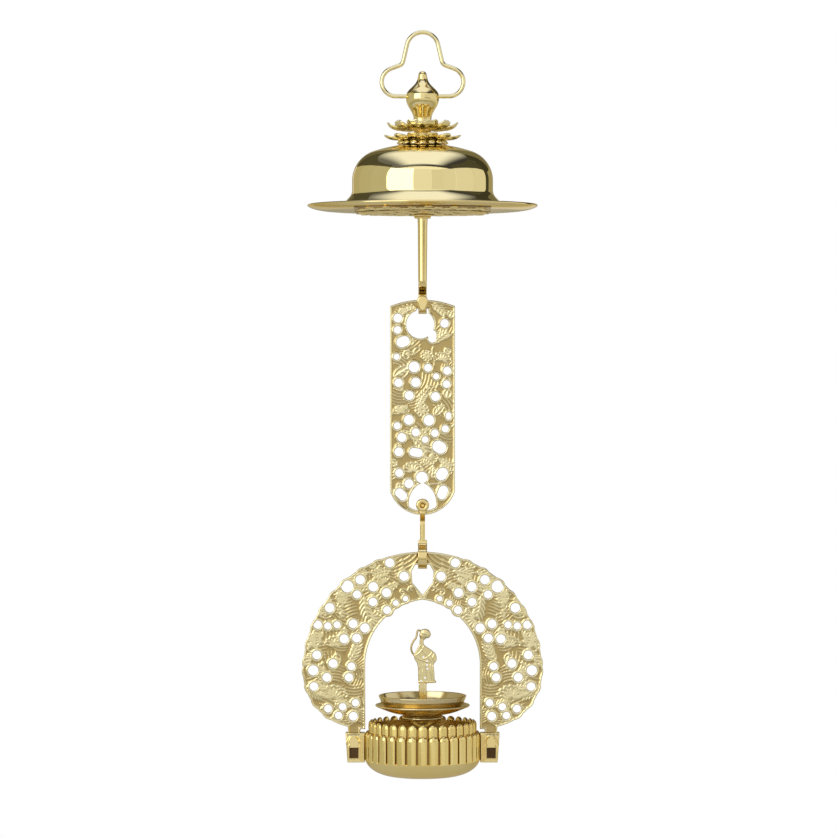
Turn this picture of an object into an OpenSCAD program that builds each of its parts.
// Hanging altar oil lamp of polished brass.
// A clover-shaped wire loop carries a canopy on a rod. Below the canopy hang,
// hook in eye, a long openwork plate, a link and an openwork ring. The ring's
// two feet hold a fluted basin with a stand, a saucer, an oil dish and a flat
// cast figure that holds down the wick. Millimetres, +Z up, front towards -Y.
// The origin is the top of the inside of the loop, where the lamp hangs.

/* [Hanging loop] */
// Diameter of the loop wire
wire_d = 1.6; // [1.2:0.1:2.2]
// Centreline radius of the loop's upper lobe
top_lobe_r = 7; // [5.5:0.1:9]
// Length of the straight side below the upper lobe
loop_side = 7.1; // [5:0.1:9]
// Length of the straight shoulder of each side lobe
loop_shoulder = 5; // [3.5:0.1:7]
// Centreline radius of each side lobe
side_lobe_r = 6.5; // [5.4:0.1:8]

/* [Jewel finial and lotus] */
// Radius of the jewel at its widest
jewel_r = 7.3; // [6:0.1:9]
// Height of the jewel's point above the loop's pivot
jewel_point = 11.1; // [9:0.1:13]
// Height of the jewel's foot below the loop's pivot
jewel_foot = 13.5; // [12:0.1:18]
// Radius over the petal tips of the upper lotus
upper_lotus_r = 15.5; // [12:0.1:18]
// Radius over the petal tips of the lower lotus
lower_lotus_r = 17.1; // [13:0.1:20]
// Number of petals on each lotus
petals = 8; // [6:1:10]
// Thickness of a petal
petal_t = 0.8; // [0.6:0.1:1]

/* [Canopy] */
// Outer radius of the crown's wall
crown_r = 31; // [25:0.1:37]
// Radius of the crown's shoulder
shoulder_r = 13.5; // [10:0.1:16]
// Height of the crown's wall below the shoulder
crown_wall = 12.8; // [10:0.1:17]
// Radius of the canopy's brim
brim_r = 50.7; // [45:0.1:61]
// Height of the brim's turned-up lip
lip_h = 2.4; // [1.5:0.1:4]
// Thickness of the canopy's sheet
sheet_t = 0.8; // [0.6:0.1:1.2]
// Radius of the openwork disc under the crown
under_disc_r = 29.9; // [24:0.1:31]

/* [Hanger rod] */
// Diameter of the rod below the canopy
rod_d = 4.4; // [3.6:0.1:6]
// Length of the rod from the canopy's nut to the centre of its hook
rod_l = 37.7; // [32:0.1:50]

/* [Openwork plate] */
// Width of the plate
plate_w = 28.6; // [24:0.1:36]
// Length of the plate
plate_l = 94.8; // [80:0.1:120]
// Thickness of the plate
plate_t = 2.4; // [1.8:0.1:3]

/* [Link] */
// Length of the link between the centres of its two hooks
link_l = 19.8; // [18.5:0.1:28]
// Diameter of the link's shaft
link_d = 2.2; // [1.8:0.1:3]

/* [Openwork ring] */
// Width over the ring
ring_d = 106.6; // [92:0.1:128]
// Thickness of the ring
ring_t = 2.4; // [1.8:0.1:3]
// Width of the archway inside the ring
arch_w = 50.6; // [49:0.1:62]

/* [Basin] */
// Radius over the flutes of the basin
basin_r = 25.6; // [23:0.1:31]
// Height of the basin
basin_h = 18.9; // [16:0.1:24]
// Number of flutes round the basin
flutes = 32; // [20:2:40]
// Thickness of the basin's and inner cup's wall
basin_wall = 0.8; // [0.6:0.1:1]
// How far the inner cup stands above the basin's rim
cup_rise = 5.5; // [3:0.1:8]

/* [Stand and dishes] */
// Height of the stand inside the inner cup
stand_h = 23.9; // [20:0.1:28]
// Radius of the stand's top
stand_r = 9; // [7:0.1:11]
// Radius of the lower saucer
saucer_r = 20.9; // [18:0.1:23]
// Depth of the lower saucer
saucer_depth = 5.1; // [4:0.1:6.2]
// Radius of the oil dish
dish_r = 19.4; // [16:0.1:20]
// Depth of the oil dish
dish_depth = 8.4; // [7:0.1:10.2]
// Thickness of the dishes
dish_t = 0.8; // [0.6:0.1:1]

/* [Wick figure] */
// Height of the figure above its stem
figure_h = 25.6; // [21:0.1:28]
// Length of the flat stem below the figure
stem_l = 11.9; // [10:0.1:14]
// Thickness of the figure
figure_t = 1.8; // [1.4:0.1:2.4]

/* [Hidden] */
$fn = 64;

brass = "#d6b35c";
bright_brass = "#e6cb7c";
dark_brass = "#a07f38";

// Fits: clearance on radius of a running fit, and gap between loose pieces
fit = 0.06;
loose = 0.12;
seat_gap = 0.04;

// How far joined lengths of one piece run into each other, and the same on a wire
overlap = 0.3;
wire_lap = 0.15;

// How much thicker a wire's radius is in its bends, and the steps of a strap's bend
bend_swell = 0.02;
bend_steps = 12;

// Loop: flare of its sides, corner bend and reach of its pins into the jewel
loop_flare = 10;
loop_corner_r = 1.6;
loop_corner_turn = 60;
pin_gap = 1.5;

// Threaded part of the rod that carries the canopy and the finial
thread_r = rod_d / 2 - 0.2;
thread_in_jewel = 9;

// Lotus, spacer and boss heights
hub_h = 2;
hub_r = 4.2;
spacer_h = 2.2;
lower_hub_h = 1.8;
boss_h = 1.2;
boss_r = 11.4;
boss_lobes = 16;
petal_share = 0.56;

// Crown: angle at which its shoulder meets its shallow dome, and its foot's flare
crown_blend = 72;
foot_flare = 4;
washer_r = 7;
washer_t = 1;
nut_r = 3.8;
nut_h = 2.4;
disc_t = 1;
canopy_nut_r = 4.2;
canopy_nut_h = 2.2;
lip_w = 4.5;

// Hooks: thickness of the straps and space round each bar
rod_strap_t = 1.8;
rod_strap_w = 3.7;
rod_tip_w = 4.8;
link_strap_t = 1.5;
link_strap_w = 4;
button_r = 2.9;
button_t = 1.6;
top_bar = 4;
bottom_bar = 1.8;
ring_bar = 6.2;

// Ring: edge lobes and the height of its two feet
edge_lobe_r = 4.6;
edge_relief = 0.5;
lobe_step = 9;
lower_corner_r = 25.5;
lug_w = 5.5;
lug_l = 8.6;

// Archway: drop of its point below the shield hole, and the space it leaves round the cup
arch_drop = 15.4;
cup_space = 1.3;

// Sockets: drop of their tops below the ring's feet, and the lug's place beyond the basin
foot_drop = 1.5;
lug_out = 4.6;
socket_w = 8.6;
socket_h = 13;
socket_depth = 6.4;
socket_wall = 1.6;
pin_d = 3;
pin_drop = 3.9;
window_w = 3;
window_h = 4.2;
rivet_d = 1.6;
rivet_l = 2;
rivet_up = 3.4;
lug_x = basin_r + lug_out;

// Basin, stand and screws: the basin's rim stands above the sockets, and the cup is cup_in
// smaller in radius than the basin
rim_rise = 0.6;
cup_in = 1.7;
flute_bulge = 4;
flute_circle = basin_r - flute_bulge;
cup_bulge = 3.2;
cup_circle = basin_r - cup_in - cup_bulge;
floor_t = 0.9;
base_corner_r = 7;
screw_d = 3;
washer_thin = 0.5;
screw_grip = 6;
spigot_h = 1.2;
spigot_r = 4;

// ---------- Curves and paths ----------

// A point on the cubic curve with control points p, at share t
function on_curve(p, t) = pow(1 - t, 3) * p[0] + 3 * t * pow(1 - t, 2) * p[1]
    + 3 * t * t * (1 - t) * p[2] + pow(t, 3) * p[3];

// The points of a cubic curve in n steps
function curve(p, n = 8) = [for (i = [0:n]) on_curve(p, i / n)];

// The points of an arc round c
function arc(c, r, from, to, n = 10) =
    [for (i = [0:n]) let (a = from + (to - from) * i / n) c + r * [cos(a), sin(a)]];

// A path is a list of [length, 0] for a straight and [radius, turn] for a bend.
// A state is [x, y, heading]; a positive turn is to the left.
function after(s, leg) = leg[1] == 0
    ? [s[0] + leg[0] * cos(s[2]), s[1] + leg[0] * sin(s[2]), s[2]]
    : let (side = sign(leg[1]), h = s[2] + leg[1])
        [s[0] - side * leg[0] * (sin(s[2]) - sin(h)),
         s[1] + side * leg[0] * (cos(s[2]) - cos(h)), h];

// The state at the end of the first n legs of a path
function state_at(start, path, n) = n == 0 ? start : after(state_at(start, path, n - 1), path[n - 1]);

// One edge of a strap bent along a path: points at an offset to the left of it, and the
// two edges of a strap t thick as one outline
function part_leg(leg, share) = leg[1] == 0 ? [leg[0] * share, 0] : [leg[0], leg[1] * share];
function beside(s, offset) = [s[0] - offset * sin(s[2]), s[1] + offset * cos(s[2])];
function strap_edge(start, path, offset) = concat([beside(start, offset)],
    [for (i = [0:len(path) - 1]) let (n = path[i][1] == 0 ? 1 : bend_steps) for (k = [1:n])
        beside(after(state_at(start, path, i), part_leg(path[i], k / n)), offset)]);
function strap_outline(start, path, t) = let (back = strap_edge(start, path, -t / 2))
    concat(strap_edge(start, path, t / 2), [for (i = [len(back) - 1:-1:0]) back[i]]);

// A strap t thick and w wide, bent along a path
module strap(start, path, t, w) {
    linear_extrude(w, center = true) polygon(strap_outline(start, path, t));
}

// One leg of a wire of diameter d from state s. Straights run on into the bends, which are
// a hair thicker.
module wire_leg(s, leg, d) {
    if (leg[1] == 0) {
        translate([s[0], s[1], 0]) rotate([0, 0, s[2]]) translate([-wire_lap, 0, 0])
            rotate([0, 90, 0]) cylinder(d = d, h = leg[0] + 2 * wire_lap);
    } else {
        side = sign(leg[1]);
        translate([s[0] - side * leg[0] * sin(s[2]), s[1] + side * leg[0] * cos(s[2]), 0])
            rotate([0, 0, s[2] - side * 90 + min(0, leg[1])]) rotate_extrude(angle = abs(leg[1]))
                translate([leg[0], 0]) circle(d = d + 2 * bend_swell);
    }
}

// A wire of diameter d bent along a path
module wire(start, path, d) {
    for (i = [0:len(path) - 1]) wire_leg(state_at(start, path, i), path[i], d);
}

// Places a drawing of the XY plane upright, seen from the front
module upright() { rotate([90, 0, 0]) children(); }

// Places a drawing of the XY plane upright, seen from the side: x runs to the back
module sideways() { rotate([90, 0, 90]) children(); }

// A flat shape t thick, upright and centred on the lamp's middle plane
module upright_plate(t) { upright() linear_extrude(t, center = true) children(); }

// ---------- Places along the lamp ----------

// Half of the loop, from the top round to where its pin begins
loop_half = [[top_lobe_r, loop_flare - 90], [loop_side, 0], [loop_corner_r, loop_corner_turn],
    [loop_shoulder, 0], [side_lobe_r, -(90 + loop_flare + loop_corner_turn)]];
loop_end = state_at([0, wire_d / 2, 0], loop_half, len(loop_half));
z_pivot = loop_end[1];

z_jewel_foot = z_pivot - jewel_foot;
z_spacer = z_jewel_foot - hub_h;
z_lower_lotus = z_spacer - spacer_h;
z_boss = z_lower_lotus - lower_hub_h;
z_crown = z_boss - boss_h;

// The crown's shallow dome is part of a sphere that its shoulder meets smoothly
dome_r = shoulder_r + (crown_r - shoulder_r) / cos(crown_blend);
z_dome_centre = z_crown - dome_r;
z_shoulder = z_dome_centre + (dome_r - shoulder_r) * sin(crown_blend);
z_brim = z_shoulder - crown_wall;
z_disc = z_brim - sheet_t;
z_canopy_nut = z_disc - disc_t;
z_rod = z_canopy_nut - canopy_nut_h;

z_rod_hook = z_rod - rod_l;
z_plate_top = z_rod_hook + top_bar / 2;
z_plate_end = z_plate_top - plate_l;
z_link_top = z_plate_end + bottom_bar / 2;
z_link_hook = z_link_top - link_l;
z_ring_top = z_link_hook + ring_bar / 2;
ring_r = ring_d / 2;
z_ring = z_ring_top - ring_r;
z_ring_foot = z_ring - lower_corner_r;

z_socket = z_ring_foot - foot_drop;
z_socket_pin = z_socket - pin_drop;
z_rivet = z_socket - socket_h + rivet_up;
z_basin_rim = z_socket + rim_rise;
z_basin_floor = z_basin_rim - basin_h;
z_cup_floor = z_basin_floor + floor_t;
z_stand = z_cup_floor + basin_wall;
z_saucer = z_stand + stand_h;
z_dish = z_saucer + dish_t;
z_wick = z_dish + dish_t;

// Inner radius of each hook: the bar's section fits inside it with room to swing
rod_hook_r = norm([top_bar, plate_t]) / 2 + loose;
link_eye_r = norm([bottom_bar, plate_t]) / 2 + loose;
link_hook_r = norm([ring_bar, ring_t]) / 2 + loose;

// ---------- Hanging loop ----------

module hanging_loop() {
    side = concat([for (i = [1:len(loop_half) - 1]) loop_half[i]], [[loop_end[0] - pin_gap, 0]]);
    back = [for (i = [len(side) - 1:-1:0]) side[i]];
    top = [[top_lobe_r, 2 * (loop_flare - 90)]];
    color(bright_brass) upright()
        wire([-pin_gap, z_pivot, 180], concat(back, top, side), wire_d);
}

// ---------- Jewel finial and lotus ----------

module jewel_finial() {
    neck_r = 0.56 * jewel_r;
    flare_r = 0.66 * jewel_r;
    point_r = 0.19 * jewel_r;
    belly = curve([[neck_r, -jewel_foot + 3], [neck_r, -7], [jewel_r, -5.5], [jewel_r, -0.8]]);
    shoulder = curve([[jewel_r, -0.8], [jewel_r, 2.6], [0.5 * jewel_r, 2.2], [0.38 * jewel_r, 5]]);
    point = curve([[0.38 * jewel_r, 5], [0.28 * jewel_r, 7.6], [point_r, jewel_point - 2.2],
        [point_r, jewel_point - point_r]]);
    color(brass) difference() {
        translate([0, 0, z_pivot]) rotate_extrude()
            polygon(concat([[0, -jewel_foot], [flare_r, -jewel_foot], [flare_r, -jewel_foot + 0.8]],
                belly, shoulder, point, arc([0, jewel_point - point_r], point_r, 0, 90, 5)));
        translate([0, 0, z_pivot]) rotate([0, 90, 0])
            cylinder(r = wire_d / 2 + fit, h = 3 * jewel_r, center = true);
        translate([0, 0, z_jewel_foot - 1]) cylinder(r = thread_r + fit, h = thread_in_jewel + 1);
    }
}

// A pointed petal seen from above, from the hub to its tip at radius r
module petal_plan(r, n) {
    half_l = (r - 1) / 2;
    half_w = petal_share * r * sin(180 / n) + 0.8;
    side_r = (half_l * half_l + half_w * half_w) / (2 * half_w);
    translate([r - half_l, 0]) intersection() {
        translate([0, side_r - half_w]) circle(r = side_r);
        translate([0, half_w - side_r]) circle(r = side_r);
    }
}

// A lotus: a thin bowl cut to petals, on a hub with its foot at z
module lotus(z, hub, r, bowl) {
    difference() {
        union() {
            translate([0, 0, z]) cylinder(r = hub_r, h = hub);
            intersection() {
                translate([0, 0, z]) rotate_extrude()
                    polygon(concat(bowl, [for (i = [len(bowl) - 1:-1:0]) bowl[i] + [0, petal_t]]));
                translate([0, 0, z - 5]) linear_extrude(15)
                    for (i = [0:petals - 1]) rotate(i * 360 / petals) petal_plan(r, petals);
            }
        }
        translate([0, 0, z - 1]) cylinder(r = thread_r + fit, h = hub + 2);
    }
}

module upper_lotus() {
    r = upper_lotus_r;
    color(brass) lotus(z_spacer, hub_h, r,
        curve([[hub_r - 1, 0.6], [0.5 * r, 0], [0.84 * r, 0.2], [r + 0.1, 4.2]]));
}

module lotus_spacer() {
    color(brass) difference() {
        translate([0, 0, z_lower_lotus]) rotate_extrude()
            polygon(concat([[0, 0], [hub_r - 0.8, 0]],
                curve([[hub_r - 0.8, 0], [hub_r + 0.4, 0.4], [hub_r + 0.4, spacer_h - 0.4],
                    [hub_r - 0.8, spacer_h]]), [[0, spacer_h]]));
        translate([0, 0, z_lower_lotus - 1]) cylinder(r = thread_r + fit, h = spacer_h + 2);
    }
}

module lower_lotus() {
    r = lower_lotus_r;
    color(brass) lotus(z_boss, lower_hub_h, r,
        curve([[hub_r - 1, 0.6], [0.5 * r, 0.1], [0.8 * r, 0.1], [r + 0.1, 2.2]]));
}

module chrysanthemum_boss() {
    lobe_r = boss_r * sin(180 / boss_lobes);
    color(brass) difference() {
        union() {
            intersection() {
                translate([0, 0, z_dome_centre]) sphere(r = dome_r + boss_h, $fn = 128);
                translate([0, 0, z_crown - 5]) linear_extrude(5 + boss_h) union() {
                    circle(r = boss_r - lobe_r);
                    for (i = [0:boss_lobes - 1]) rotate(i * 360 / boss_lobes)
                        translate([boss_r - lobe_r, 0]) circle(r = lobe_r);
                }
            }
            translate([0, 0, z_crown - 1]) cylinder(r = hub_r, h = 1 + boss_h);
        }
        translate([0, 0, z_dome_centre]) sphere(r = dome_r, $fn = 128);
        translate([0, 0, z_crown - 2]) cylinder(r = thread_r + fit, h = 4 + boss_h);
    }
}

// ---------- Canopy ----------

// The crown's side: dome, shoulder, wall and flared foot, drawn in by d
function crown_side(d) = concat(
    arc([0, z_dome_centre], dome_r - d, 90, crown_blend, 6),
    arc([crown_r - shoulder_r, z_shoulder], shoulder_r - d, crown_blend, 0, 10),
    curve([[crown_r - d, z_shoulder - 0.4 * crown_wall], [crown_r - d, z_brim + 0.3 * crown_wall],
        [crown_r + 0.4 * foot_flare - d, z_brim + 0.15 * crown_wall],
        [crown_r + foot_flare - d, z_brim]], 6));

module canopy_crown() {
    outer = crown_side(0);
    inner = crown_side(sheet_t);
    color(bright_brass) difference() {
        rotate_extrude($fn = 128)
            polygon(concat(outer, [for (i = [len(inner) - 1:-1:0]) inner[i]]));
        translate([0, 0, z_crown - 3]) cylinder(r = thread_r + fit, h = 6);
    }
}

module canopy_brim() {
    inner_r = under_disc_r - 1.4;
    under = concat([[inner_r, z_disc], [brim_r - 3 * lip_w, z_disc]],
        curve([[brim_r - 2.4 * lip_w, z_disc + 0.1], [brim_r - 1.2 * lip_w, z_disc + 0.6],
            [brim_r - 0.8 * lip_w, z_disc + 0.5], [brim_r, z_disc + sheet_t + lip_h]], 6));
    color(brass) rotate_extrude($fn = 128)
        polygon(concat(under, [for (i = [len(under) - 1:-1:0])
            [min(under[i][0], brim_r - 0.3 * sheet_t), under[i][1] + sheet_t]]));
}

module canopy_disc() {
    lobes = 16;
    color(brass) translate([0, 0, z_canopy_nut]) linear_extrude(disc_t) difference() {
        union() {
            circle(r = under_disc_r - 0.5);
            for (i = [0:lobes - 1]) rotate(i * 360 / lobes)
                translate([under_disc_r - 6, 0]) circle(r = 6);
        }
        circle(r = thread_r + fit);
        for (i = [0:lobes - 1]) rotate((i + 0.5) * 360 / lobes) {
            translate([0.83 * under_disc_r, 0]) circle(d = 0.11 * under_disc_r);
            translate([0.64 * under_disc_r, 0]) circle(d = 0.1 * under_disc_r);
        }
        for (i = [0:lobes / 2 - 1]) rotate(i * 720 / lobes)
            translate([0.4 * under_disc_r, 0]) circle(d = 0.13 * under_disc_r);
    }
}

module crown_washer() {
    top_r = dome_r - sheet_t - seat_gap;
    z_under = z_crown - sheet_t - washer_t;
    color(dark_brass) rotate_extrude() polygon(concat(
        arc([0, z_dome_centre], top_r, acos((thread_r + fit) / top_r), acos(washer_r / top_r), 4),
        [[washer_r, z_under], [thread_r + fit, z_under]]));
}

module crown_nut() {
    color(dark_brass) difference() {
        translate([0, 0, z_crown - sheet_t - washer_t - nut_h])
            cylinder(r = nut_r, h = nut_h, $fn = 6);
        translate([0, 0, z_crown - 10]) cylinder(r = thread_r + fit, h = 10);
    }
}

module canopy_nut() {
    color(brass) difference() {
        translate([0, 0, z_rod]) rotate_extrude()
            polygon(concat([[0, 0], [canopy_nut_r - 0.8, 0]],
                curve([[canopy_nut_r - 0.8, 0], [canopy_nut_r, 0.2], [canopy_nut_r, 0.8],
                    [canopy_nut_r, canopy_nut_h]]), [[0, canopy_nut_h]]));
        translate([0, 0, z_rod - 1]) cylinder(r = thread_r + fit, h = canopy_nut_h + 2);
    }
}

// ---------- Hanger rod ----------

// A hook in the side view: from the shaft's end it steps sideways, runs down
// and goes round the centre of the bar that it holds
function hook_path(step_side, turn, strap_t, r, leg, tip) =
    let (bend = (r + strap_t / 2) / (2 * (1 - cos(turn))))
    [[bend, step_side * turn], [bend, -step_side * turn], [leg, 0],
     [r + strap_t / 2, -step_side * 180], [tip, 0]];

// Height that the sideways step of such a hook takes
function step_height(turn, strap_t, r) = (r + strap_t / 2) * sin(turn) / (1 - cos(turn));

module hanger_rod() {
    turn = 60;
    leg = 4;
    tip = 1.4;
    z_step = z_rod_hook + leg + step_height(turn, rod_strap_t, rod_hook_r);
    neck = 1;
    color(bright_brass) {
        translate([0, 0, z_step + neck])
            cylinder(d1 = rod_d - 0.6, d2 = rod_d, h = z_rod - z_step - neck);
        translate([0, 0, z_step - overlap]) cylinder(d = rod_d - 0.6, h = neck + 2 * overlap);
        translate([0, 0, z_rod - overlap])
            cylinder(r = thread_r, h = z_jewel_foot + thread_in_jewel - z_rod - overlap);
        sideways() strap([0, z_step, -90],
            hook_path(1, turn, rod_strap_t, rod_hook_r, leg, tip), rod_strap_t, rod_strap_w);
        translate([0, -rod_hook_r - rod_strap_t / 2, z_rod_hook + tip]) rotate([90, 0, 0])
            cylinder(d = rod_tip_w, h = rod_strap_t, center = true);
    }
}

// ---------- Openwork plate ----------

// The pierced holes: place across as a share of half the width, place down as
// a share of the length, width, height and turn
plate_holes = [
    [-0.76, 0.085, 4, 4, 0], [0.68, 0.11, 3.8, 3.8, 0], [-0.77, 0.14, 3.4, 3.4, 0],
    [-0.6, 0.195, 6, 4.6, 20], [0.3, 0.17, 3.6, 5.6, 0], [-0.8, 0.265, 2.8, 2.8, 0],
    [-0.26, 0.312, 4.8, 4.8, 0], [0.17, 0.316, 3.5, 3.5, 0], [0.42, 0.356, 2.8, 2.8, 0],
    [0.76, 0.33, 3.6, 3.6, 0], [-0.74, 0.386, 3.8, 3.8, 0], [-0.21, 0.384, 4.2, 4.2, 0],
    [0.74, 0.392, 3.4, 3.4, 0], [-0.41, 0.445, 4, 4, 0], [0.4, 0.45, 4, 4, 0],
    [-0.42, 0.558, 4.4, 4.4, 0], [0.2, 0.56, 4.8, 4.8, 0], [0.8, 0.54, 2.4, 3.4, 0],
    [-0.78, 0.586, 3.2, 3.2, 0], [-0.21, 0.616, 3.6, 3.6, 0], [0.08, 0.65, 3, 3, 0],
    [-0.64, 0.64, 4, 4, 0], [0.7, 0.6, 3.2, 3.2, 0], [0.38, 0.62, 3.4, 3.4, 0],
    [0.52, 0.685, 6.4, 5.2, -30], [-0.73, 0.707, 4, 4, 0], [-0.2, 0.71, 6, 3.8, -10],
    [-0.72, 0.805, 3.6, 3.6, 0], [-0.02, 0.826, 5.2, 5, 0], [0.6, 0.81, 4.8, 5.8, -35],
    [-0.42, 0.855, 4, 4, 0], [-0.66, 0.905, 6, 4, -45], [0.62, 0.896, 4.2, 6.2, -20]];

// A round hole, or a long one made of two round ends and the strip between
module long_hole(w, h, turn) {
    rotate(turn) if (w == h) circle(d = w);
    else {
        d = min(w, h);
        run = [(w - d) / 2, (h - d) / 2];
        for (end = [-1, 1]) translate(end * run) circle(d = d);
        square([w == d ? d : w - d, h == d ? d : h - d], center = true);
    }
}

// The plate's outline: a shallow arch at the top and a round end below
module plate_outline() {
    half = plate_w / 2;
    top_sag = 2.8;
    top_r = (half * half + top_sag * top_sag) / (2 * top_sag);
    end_r = 1.05 * half;
    intersection() {
        translate([0, z_plate_top - top_r]) circle(r = top_r, $fn = 128);
        translate([0, z_plate_top - half]) square([plate_w, plate_w], center = true);
    }
    translate([-half, z_plate_end + end_r]) square([plate_w, plate_l - half - end_r]);
    intersection() {
        translate([0, z_plate_end + end_r]) circle(r = end_r, $fn = 128);
        translate([0, z_plate_end + end_r]) square([plate_w, 2 * end_r], center = true);
    }
}

// The hole that the rod's hook goes through: round, with a flat seat at the top
module plate_top_hole() {
    hole_d = 12.4;
    seat_w = rod_tip_w + 0.6;
    top = z_plate_top - top_bar;
    translate([-1, top - 0.5 * hole_d - 0.7]) circle(d = hole_d);
    translate([-seat_w / 2, top - 4]) square([seat_w, 4]);
}

// The hole that the link's eye goes through: round below, pointed above
module plate_end_hole() {
    half = 6.1;
    side_r = 9.8;
    bottom = z_plate_end + bottom_bar;
    rise = 3.4;
    intersection() {
        translate([half - side_r, bottom + rise]) circle(r = side_r);
        translate([side_r - half, bottom + rise]) circle(r = side_r);
        translate([0, bottom + 12]) circle(r = 12);
    }
}

module openwork_plate() {
    color(brass) upright_plate(plate_t) difference() {
        plate_outline();
        plate_top_hole();
        plate_end_hole();
        for (h = plate_holes)
            translate([h[0] * plate_w / 2, z_plate_top - h[1] * plate_l]) long_hole(h[2], h[3], h[4]);
    }
}

// ---------- Link ----------

module plate_link() {
    eye_turn = 50;
    eye_leg = 0.4;
    hook_turn = 60;
    hook_leg = 0.6;
    hook_tip = 2.4;
    z_eye_step = z_link_top - eye_leg - step_height(eye_turn, link_strap_t, link_eye_r);
    z_hook_step = z_link_hook + hook_leg + step_height(hook_turn, link_strap_t, link_hook_r);
    button_rise = 3.4;
    color(bright_brass) {
        translate([0, 0, z_hook_step - overlap])
            cylinder(d = link_d, h = z_eye_step - z_hook_step + 2 * overlap);
        sideways() strap([0, z_eye_step, 90],
            hook_path(-1, eye_turn, link_strap_t, link_eye_r, eye_leg, overlap), link_strap_t, link_d);
        sideways() strap([0, z_hook_step, -90],
            hook_path(-1, hook_turn, link_strap_t, link_hook_r, hook_leg, hook_tip),
            link_strap_t, link_strap_w);
        translate([0, link_hook_r + link_strap_t / 2, z_link_hook + hook_tip]) rotate([90, 0, 0])
            cylinder(d = link_strap_w, h = link_strap_t, center = true);
        difference() {
            translate([0, -link_eye_r - 0.1, z_link_top + button_rise]) rotate([90, 0, 0])
                cylinder(r = button_r, h = button_t);
            translate([0, -link_eye_r - button_t - 0.1, z_link_top + button_rise]) rotate([90, 0, 0])
                cylinder(r = 0.3 * button_r, h = button_t, center = true);
        }
    }
}

// ---------- Openwork ring ----------

// The archway's sides are arcs that rise from the spring line to a point
arch_half = arch_w / 2;
arch_spring = 2.9;
arch_apex = ring_r - ring_bar - arch_drop;
arch_r = (pow(arch_half, 2) + pow(arch_apex - arch_spring, 2)) / (2 * arch_half);
corner_x = ring_r - lower_corner_r;

// Distance from the ring's centre to the archway and to the outer edge, at an
// angle from the top
function to_circle(a, c, r) = let (d = [sin(a), cos(a)], along = d * c)
    along + sqrt(along * along - c * c + r * r);
function arch_at(a) = let (t = to_circle(a, [arch_half - arch_r, arch_spring], arch_r))
    t * cos(a) < arch_spring ? arch_half / sin(a) : t;
function edge_at(a) = a <= 90 ? ring_r : to_circle(a, [corner_x, 0], lower_corner_r);

// Place of a hole: angle from the top and share of the way across the ring
function ring_spot(a, share) = (arch_at(a) + share * (edge_at(a) - arch_at(a))) * [sin(a), cos(a)];

// A point of the right half, or its mirror image on the left
function mirrored(side, p) = [side * p[0], p[1]];

// The pierced holes of one half: angle from the top, share across, diameter
ring_holes = [
    [16.8, 0.86, 4.1], [11, 0.53, 4.2], [24.6, 0.36, 4.1], [30.2, 0.58, 4.3], [34.2, 0.82, 4.2],
    [41.5, 0.87, 5.4], [40.4, 0.65, 3.7], [35.5, 0.36, 3.8], [13.2, 0.1, 2.5], [21.4, 0.1, 2.7],
    [30, 0.08, 3.6], [55.6, 0.86, 4.3], [66, 0.9, 3.8], [64.4, 0.74, 3.3], [61.4, 0.61, 3.2],
    [55.6, 0.38, 4], [53, 0.17, 4.2], [67.5, 0.41, 4.1], [63.2, 0.22, 4], [81.2, 0.78, 4],
    [85, 0.51, 4], [86, 0.22, 3.6], [89.5, 0.82, 4.6], [93.6, 0.61, 4], [94.7, 0.26, 3.8],
    [98, 0.84, 3.9], [115.2, 0.24, 3.4], [114, 0.53, 3.4], [111.6, 0.8, 3.6], [123, 0.46, 4],
    [117.8, 0.74, 3.4]];

module ring_blank() {
    base_r = ring_r - edge_relief;
    corner_r = lower_corner_r - edge_relief;
    intersection() {
        circle(r = base_r, $fn = 128);
        translate([-ring_r, 0]) square([ring_d, ring_r]);
    }
    for (side = [-1, 1]) {
        translate([side * corner_x, 0]) intersection() {
            circle(r = corner_r, $fn = 96);
            translate([-ring_r, -ring_r]) square([ring_d, ring_r]);
        }
        for (a = [22.5:lobe_step:90]) rotate(-side * a)
            translate([0, ring_r - edge_lobe_r]) circle(r = edge_lobe_r);
        for (a = [0:2 * lobe_step:70]) translate([side * corner_x, 0]) rotate(-side * (90 + a))
            translate([0, lower_corner_r - edge_lobe_r]) circle(r = edge_lobe_r);
    }
    translate([0, ring_r - 5]) intersection() {
        circle(r = 5);
        translate([-5, -5]) square([10, 10]);
    }
    translate([-corner_x, -lower_corner_r]) square([2 * corner_x, lower_corner_r]);
}

module archway() {
    intersection() {
        translate([arch_half - arch_r, arch_spring]) circle(r = arch_r, $fn = 128);
        translate([arch_r - arch_half, arch_spring]) circle(r = arch_r, $fn = 128);
        translate([-arch_half, arch_spring]) square([arch_w, ring_r]);
    }
    translate([-arch_half, -ring_r]) square([arch_w, ring_r + arch_spring + 0.01]);
    cup_half = basin_r - cup_in + cup_space;
    translate([-cup_half, -ring_r])
        square([2 * cup_half, z_basin_rim + cup_rise + cup_space - z_ring + ring_r]);
}

// The shield-shaped hole that the link's hook goes through
module shield_hole() {
    half = 4.85;
    top = ring_r - ring_bar;
    tall = 13.4;
    polygon([[-half + 1.6, top], [half - 1.6, top], [half, top - 3], [half - 0.4, top - 8],
        [0, top - tall], [0.4 - half, top - 8], [-half, top - 3]]);
}

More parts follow.
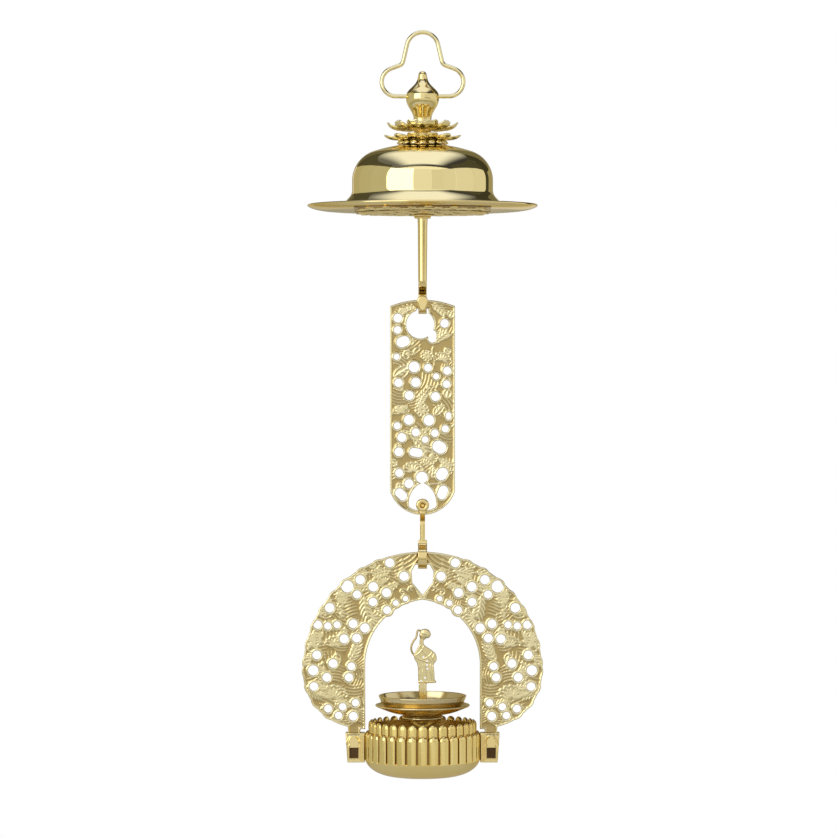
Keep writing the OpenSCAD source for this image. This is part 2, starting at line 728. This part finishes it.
module openwork_ring() {
    color(brass) translate([0, 0, z_ring]) upright_plate(ring_t) difference() {
        union() {
            difference() {
                ring_blank();
                archway();
            }
            for (side = [-1, 1]) {
                for (h = ring_holes) if (h[1] < 0.3)
                    translate(mirrored(side, ring_spot(h[0], h[1]))) circle(d = h[2] + 2.4);
                translate([side * lug_x - lug_w / 2, -lower_corner_r - lug_l])
                    square([lug_w, lug_l + 6]);
            }
        }
        shield_hole();
        for (side = [-1, 1]) {
            for (h = ring_holes) translate(mirrored(side, ring_spot(h[0], h[1]))) circle(d = h[2]);
            translate([side * lug_x, z_socket_pin - z_ring]) circle(d = pin_d);
        }
    }
}

// ---------- Sockets ----------

// One socket, on the right: a block with a slot for the ring's lug, the pin's
// bore and a window below it, hollowed to sit against the basin
module socket() {
    slot = [lug_w + 2 * loose, ring_t + 2 * loose];
    difference() {
        translate([basin_r - 1, -socket_depth / 2, z_socket - socket_h])
            cube([socket_w + 1, socket_depth, socket_h]);
        translate([0, 0, z_socket - socket_h - 1]) cylinder(r = basin_r, h = socket_h + 2, $fn = 128);
        translate([lug_x - slot[0] / 2, -slot[1] / 2, z_ring_foot - lug_l - loose])
            cube([slot[0], slot[1], lug_l + 10]);
        translate([lug_x, 0, z_socket_pin]) rotate([90, 0, 0])
            cylinder(d = pin_d, h = socket_depth + 2, center = true);
        translate([lug_x - window_w / 2, -socket_depth / 2 - 1, z_socket - socket_h + socket_wall])
            cube([window_w, socket_depth + 2, window_h]);
        translate([basin_r - 2, 0, z_rivet]) rotate([0, 90, 0]) cylinder(d = rivet_d, h = rivet_l + 1);
    }
}

module left_socket() { color(brass) mirror([1, 0, 0]) socket(); }

module right_socket() { color(brass) socket(); }

module socket_pins() {
    head = 0.5;
    color(bright_brass) for (side = [-1, 1])
        translate([side * lug_x, 0, z_socket_pin]) rotate([90, 0, 0]) {
            cylinder(d = pin_d, h = socket_depth, center = true);
            for (end = [-1, 1]) translate([0, 0, end * (socket_depth + head) / 2])
                cylinder(d = pin_d + 1, h = head, center = true);
        }
}

module socket_rivets() {
    head_r = rivet_d / 2 + 0.5;
    flute_inside = flute_bulge - basin_wall;
    seat = flute_inside - sqrt(pow(flute_inside, 2) - pow(head_r, 2)) + seat_gap;
    head = cup_in - basin_wall - seat - loose;
    color(dark_brass) for (side = [0, 1]) mirror([side, 0, 0])
        translate([basin_r - basin_wall - seat, 0, z_rivet]) rotate([0, 90, 0]) {
            cylinder(d = rivet_d, h = seat + basin_wall - 1 + rivet_l);
            translate([0, 0, -head]) cylinder(r = head_r, h = head);
        }
}

// ---------- Basin ----------

// A ring of flutes: circles of radius bulge on a pitch circle, filled inside
module fluted(pitch_r, bulge) {
    for (i = [0:flutes - 1]) rotate(i * 360 / flutes) translate([pitch_r, 0]) circle(r = bulge);
    circle(r = pitch_r);
}

// The side of a round-bottomed bowl of radius r and corner c, from its rim
// at height h down to its floor
function bowl_side(r, c, h) = concat([[0, h], [r, h]], arc([r - c, c], c, 0, -90, 8), [[0, 0]]);

module basin_bowl() {
    color(brass) difference() {
        intersection() {
            translate([0, 0, z_basin_floor]) linear_extrude(basin_h) fluted(flute_circle, flute_bulge);
            translate([0, 0, z_basin_floor]) rotate_extrude($fn = 128)
                polygon(bowl_side(basin_r + 0.01, base_corner_r, basin_h));
        }
        intersection() {
            translate([0, 0, z_cup_floor]) linear_extrude(basin_h)
                fluted(flute_circle, flute_bulge - basin_wall);
            translate([0, 0, z_cup_floor]) rotate_extrude($fn = 128)
                polygon(bowl_side(basin_r - basin_wall, base_corner_r - basin_wall, basin_h + 1));
        }
        translate([0, 0, z_basin_floor - 1]) cylinder(d = screw_d + 2 * fit, h = 3);
        for (side = [-1, 1]) translate([side * basin_r, 0, z_rivet]) rotate([0, 90, 0])
            cylinder(d = rivet_d, h = 6, center = true);
    }
}

module inner_cup() {
    h = basin_h - floor_t + cup_rise;
    color(brass) difference() {
        intersection() {
            translate([0, 0, z_cup_floor]) linear_extrude(h) fluted(cup_circle, cup_bulge);
            translate([0, 0, z_cup_floor]) rotate_extrude($fn = 128)
                polygon(bowl_side(cup_circle + cup_bulge + 0.01, base_corner_r, h));
        }
        intersection() {
            translate([0, 0, z_stand]) linear_extrude(h) fluted(cup_circle, cup_bulge - basin_wall);
            translate([0, 0, z_stand]) rotate_extrude($fn = 128)
                polygon(bowl_side(cup_circle + cup_bulge - basin_wall, base_corner_r - basin_wall, h));
        }
        translate([0, 0, z_cup_floor - 1]) cylinder(d = screw_d + 2 * fit, h = 3);
    }
}

// ---------- Stand, saucer and oil dish ----------

module dish_stand() {
    rim_t = 1.6;
    waist_r = 0.42 * stand_r;
    color(dark_brass) difference() {
        translate([0, 0, z_stand]) rotate_extrude() polygon(concat(
            [[0, 0], [stand_r, 0], [stand_r, rim_t]],
            curve([[stand_r, rim_t], [waist_r, rim_t + 1], [waist_r, 0.3 * stand_h],
                [waist_r, 0.5 * stand_h]]),
            curve([[waist_r, 0.5 * stand_h], [waist_r, 0.75 * stand_h],
                [0.6 * stand_r, stand_h - rim_t - 0.6], [stand_r, stand_h - rim_t]]),
            [[stand_r, stand_h], [0, stand_h]]));
        translate([0, 0, z_saucer - spigot_h - loose])
            cylinder(r = spigot_r + fit, h = spigot_h + 1);
        translate([0, 0, z_stand - 1]) cylinder(d = screw_d + 2 * fit, h = 9);
    }
}

module stand_washer() {
    color(dark_brass) translate([0, 0, z_basin_floor - washer_thin]) difference() {
        cylinder(d = 2.6 * screw_d, h = washer_thin);
        translate([0, 0, -1]) cylinder(d = screw_d + 2 * fit, h = 3);
    }
}

module stand_screw() {
    head_h = 1.2;
    z_head = z_basin_floor - washer_thin - head_h;
    color(dark_brass) difference() {
        union() {
            translate([0, 0, z_head]) cylinder(d = 2 * screw_d, h = head_h);
            translate([0, 0, z_head])
                cylinder(d = screw_d, h = head_h + washer_thin + floor_t + basin_wall + screw_grip);
        }
        translate([-screw_d, -0.3, z_head - 1]) cube([2 * screw_d, 0.6, 1.6]);
    }
}

// The curve of a shallow dish of radius r and depth d, from the edge of its
// foot of radius f out to its rim
function dish_curve(r, d, f) = curve([[f, 0], [f + 0.45 * (r - f), 0.06 * d],
    [r - 0.22 * (r - f), 0.45 * d], [r, d]], 10);

// A shallow dish with a flat foot
module dish(r, d, f) {
    outer = dish_curve(r, d, f);
    rotate_extrude($fn = 128) polygon(concat([[0, 0]], outer,
        [for (i = [len(outer) - 1:-1:0]) [max(outer[i][0] - 0.35 * dish_t, 0), outer[i][1] + dish_t]],
        [[0, dish_t]]));
}

module lower_saucer() {
    color(brass) {
        translate([0, 0, z_saucer]) dish(saucer_r, saucer_depth - dish_t, stand_r + 0.6);
        translate([0, 0, z_saucer - spigot_h]) cylinder(r = spigot_r, h = spigot_h);
    }
}

module oil_dish() {
    color(bright_brass) translate([0, 0, z_dish]) dish(dish_r, dish_depth - dish_t, stand_r - 1.4);
}

// ---------- Wick figure ----------

// Points of the figure are given on a figure 25.6 tall and scaled to its height
figure_scale = figure_h / 25.6;
z_figure = z_wick + stem_l;

module wick_figure() {
    head = [-0.1, 22.2];
    robe = [[-2.3, -stem_l / figure_scale], [1.3, -stem_l / figure_scale],
        [1.3, 0.3], [1.9, -0.2], [6.4, -0.2],
        [5.8, 2.2], [4.4, 8.4], [5.6, 9.4], [6.4, 10.8], [5.2, 13.4], [1.6, 16.4], [0.4, 17.6],
        [0.6, 19.6], [-1.4, 19.6], [-1.4, 17.4], [-3.6, 15.6], [-4.6, 12.8], [-3.4, 9.4], [-2.4, 5.6]];
    scarf_r = 7.4;
    color(bright_brass) translate([0, 0, z_figure]) upright_plate(figure_t)
        difference() {
            union() {
                polygon(robe * figure_scale);
                translate(head * figure_scale) circle(r = 3.1 * figure_scale);
                translate([1.5, 18.2] * figure_scale) difference() {
                    circle(r = scarf_r * figure_scale);
                    circle(r = scarf_r * figure_scale - 0.8);
                    translate([-4.6, -scarf_r * 2] * figure_scale)
                        square([4, 4] * scarf_r * figure_scale);
                    translate([-scarf_r - 1, -scarf_r * 2 - 3.4] * figure_scale)
                        square([2, 2] * scarf_r * figure_scale);
                }
            }
            translate([0.3, 12.6] * figure_scale) circle(d = 0.9 * figure_scale);
            translate([-0.6, 2.6] * figure_scale) circle(d = 0.9 * figure_scale);
        }
}

// The figure's foot: a ring that lies in the dish, with a slotted boss for the stem
module wick_foot() {
    foot_r = 5;
    foot_t = 1;
    color(bright_brass) difference() {
        translate([0, 0, z_wick]) union() {
            difference() {
                cylinder(r = foot_r, h = foot_t);
                translate([0, 0, -1]) cylinder(r = foot_r - 1.2, h = 3);
            }
            translate([-foot_r + 0.6, -0.8, 0]) cube([2 * foot_r - 1.2, 1.6, foot_t]);
            translate([-0.5 * figure_scale, 0, 0]) cylinder(d = 5.4, h = 2.4);
        }
        translate([-2.3 * figure_scale - 0.01, -figure_t / 2, z_wick - 1])
            cube([3.6 * figure_scale + 0.02, figure_t, 5]);
    }
}

// ---------- Output ----------

hanging_loop();
jewel_finial();
upper_lotus();
lotus_spacer();
lower_lotus();
chrysanthemum_boss();
canopy_crown();
canopy_brim();
canopy_disc();
crown_washer();
crown_nut();
canopy_nut();
hanger_rod();
openwork_plate();
plate_link();
openwork_ring();
left_socket();
right_socket();
socket_pins();
socket_rivets();
basin_bowl();
inner_cup();
dish_stand();
stand_washer();
stand_screw();
lower_saucer();
oil_dish();
wick_figure();
wick_foot();
